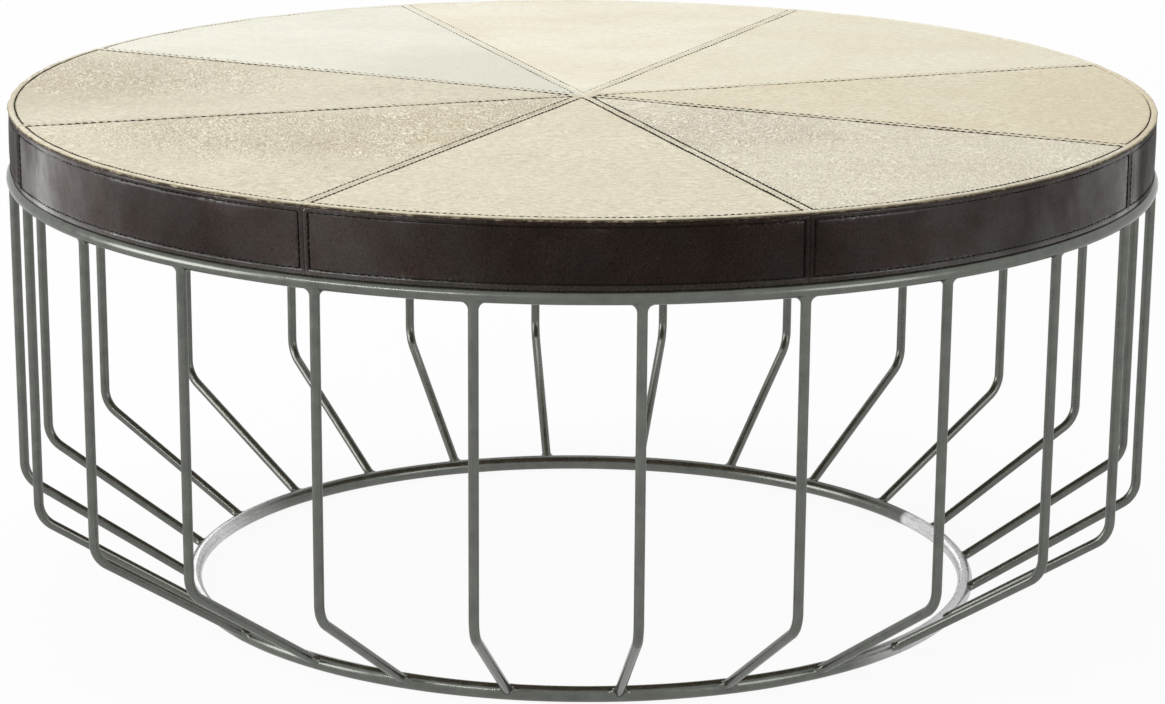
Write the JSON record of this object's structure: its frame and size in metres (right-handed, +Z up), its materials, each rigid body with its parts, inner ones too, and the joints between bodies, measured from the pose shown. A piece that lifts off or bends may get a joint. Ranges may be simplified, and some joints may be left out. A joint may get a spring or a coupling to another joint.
{
  "type": "cocktail table",
  "caption": "Round low table: a drum top covered in wedges of cream hide, edged with a sewn leather band, on an open cage of bent steel rods welded between two rings.",
  "frame": {"origin": "on the floor under the centre of the table", "axes": "+Z up. -Y is the front: it runs midway between two legs and through the middle of a hide wedge. The seams of the top lie 22.5 degrees either side of it, and 45 degrees apart."},
  "size_m": [1.0262, 1.0262, 0.45],
  "materials": {
    "steel": "grey steel rod, ground smooth at the welds, under a satin clear coat",
    "zinc": "zinc plated",
    "board": "plain fibreboard",
    "band_leather": "dark brown leather, polished, with a dark double stitch",
    "pale_hide": "cream hair-on hide, short hair",
    "tan_hide": "cream hair-on hide with tan swirls, short hair"
  },
  "bodies": {
    "root": {"upper_ring": "steel", "floor_ring": "steel", "leg_01": "steel", "leg_02": "steel", "leg_03": "steel", "leg_04": "steel", "leg_05": "steel", "leg_06": "steel", "leg_07": "steel", "leg_08": "steel", "leg_09": "steel", "leg_10": "steel", "leg_11": "steel", "leg_12": "steel", "leg_13": "steel", "leg_14": "steel", "leg_15": "steel", "leg_16": "steel", "leg_17": "steel", "leg_18": "steel", "leg_19": "steel", "leg_20": "steel", "leg_21": "steel", "leg_22": "steel", "leg_23": "steel", "leg_24": "steel", "top_tab_1": "steel", "top_tab_2": "steel", "top_tab_3": "steel", "top_tab_4": "steel", "tab_screw_1": "zinc", "tab_screw_2": "zinc", "tab_screw_3": "zinc", "tab_screw_4": "zinc", "top_panel": "board", "rim_segment_1": "board", "rim_segment_2": "board", "rim_segment_3": "board", "rim_segment_4": "board", "band_panel_1": "band_leather", "band_panel_2": "band_leather", "band_panel_3": "band_leather", "band_panel_4": "band_leather", "band_panel_5": "band_leather", "band_panel_6": "band_leather", "band_panel_7": "band_leather", "band_panel_8": "band_leather", "hide_wedge_1": "pale_hide", "hide_wedge_2": "tan_hide", "hide_wedge_3": "pale_hide", "hide_wedge_4": "tan_hide", "hide_wedge_5": "pale_hide", "hide_wedge_6": "tan_hide", "hide_wedge_7": "pale_hide", "hide_wedge_8": "tan_hide"}
  },
  "joints": []
}
